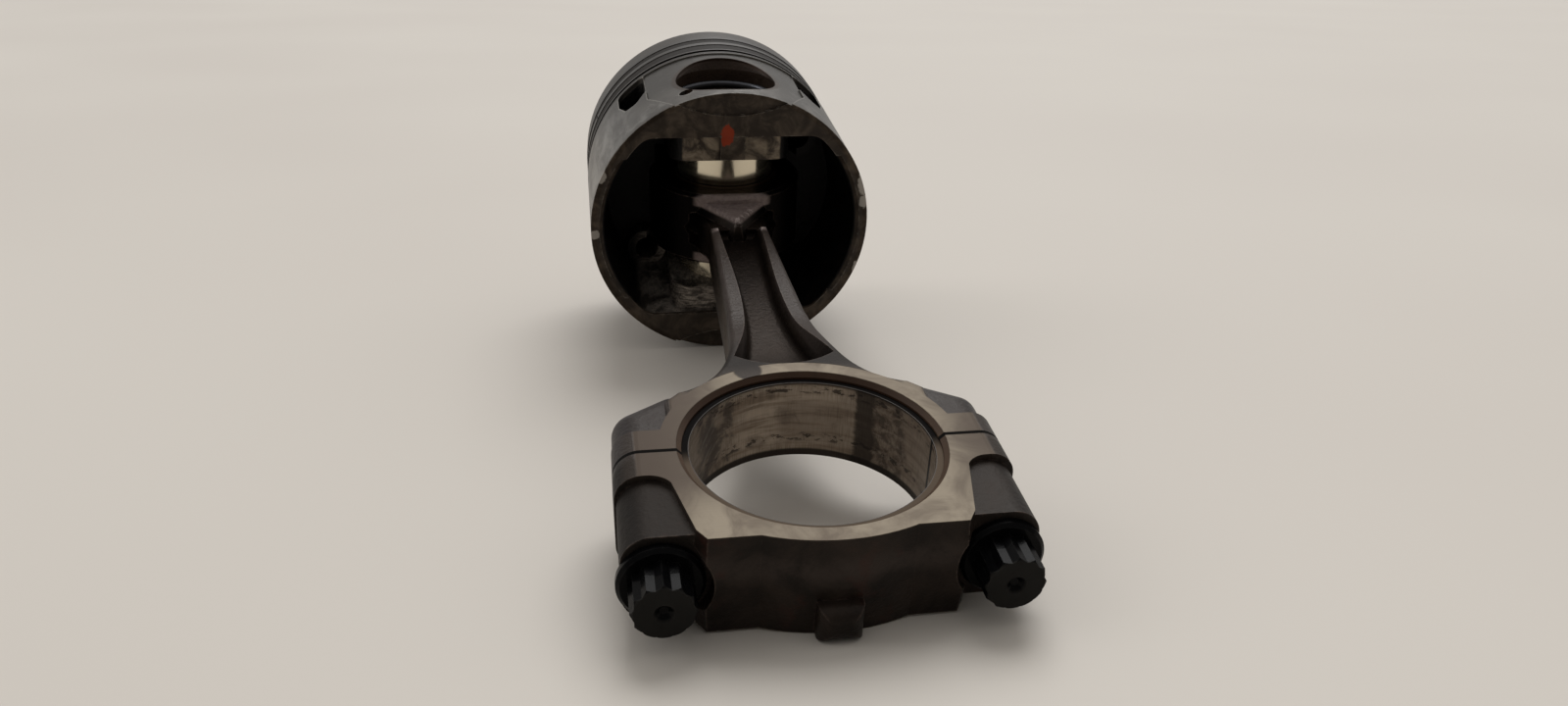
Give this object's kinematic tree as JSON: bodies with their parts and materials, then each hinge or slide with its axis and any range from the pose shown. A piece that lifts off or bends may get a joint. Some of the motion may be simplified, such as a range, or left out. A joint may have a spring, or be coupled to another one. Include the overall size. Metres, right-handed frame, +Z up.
{
  "type": "piston and connecting rod",
  "caption": "Diesel engine piston with side pockets on a forged I-section connecting rod, with a bolted bearing cap at the big end.",
  "frame": {"origin": "centre of the big-end bearing's bore, at half its width", "axes": "+Y runs level from the big end towards the piston, +Z is up and +X is to the right when looking along +Y; the rod's own axis rises by about 10.5 degrees towards the piston, as the part rests"},
  "size_m": [0.08, 0.2255, 0.0892],
  "materials": {
    "piston": "turned outside, as cast inside, used",
    "rod": "forged, with machined faces, oily",
    "rod_cap": "forged, with machined faces, oily",
    "bearing": "worn bearing lining",
    "bolt": "blackened and oily",
    "pin": "ground",
    "clip": "spring steel wire",
    "bush": "bored",
    "ring": "ground, dark with oil"
  },
  "bodies": {
    "rod": {"connecting_rod": "rod", "rod_cap": "rod_cap", "small_end_bush": "bush", "upper_bearing_shell": "bearing", "lower_bearing_shell": "bearing", "rod_bolt_left": "bolt", "rod_bolt_right": "bolt"},
    "piston": {"piston": "piston", "circlip_upper": "clip", "circlip_lower": "clip"},
    "wrist_pin": {"wrist_pin": "pin"},
    "top_ring": {"top_ring": "ring"},
    "second_ring": {"second_ring": "ring"},
    "oil_ring": {"oil_ring": "ring", "oil_ring_expander": "clip"}
  },
  "joints": [
    {"name": "piston_swing", "type": "hinge", "parent": "rod", "child": "piston", "pos_m": [0, 0.14157, 0.02633], "axis": [0, -0.1828, 0.9831], "range_deg": [-50, 50]},
    {"name": "pin_spin", "type": "hinge", "parent": "rod", "child": "wrist_pin", "pos_m": [0, 0.14157, 0.02633], "axis": [0, -0.1828, 0.9831], "continuous": true},
    {"name": "top_ring_spin", "type": "hinge", "parent": "piston", "child": "top_ring", "pos_m": [0, 0.14157, 0.02633], "axis": [0, 0.9831, 0.1828], "continuous": true},
    {"name": "second_ring_spin", "type": "hinge", "parent": "piston", "child": "second_ring", "pos_m": [0, 0.14157, 0.02633], "axis": [0, 0.9831, 0.1828], "continuous": true},
    {"name": "oil_ring_spin", "type": "hinge", "parent": "piston", "child": "oil_ring", "pos_m": [0, 0.14157, 0.02633], "axis": [0, 0.9831, 0.1828], "continuous": true}
  ]
}
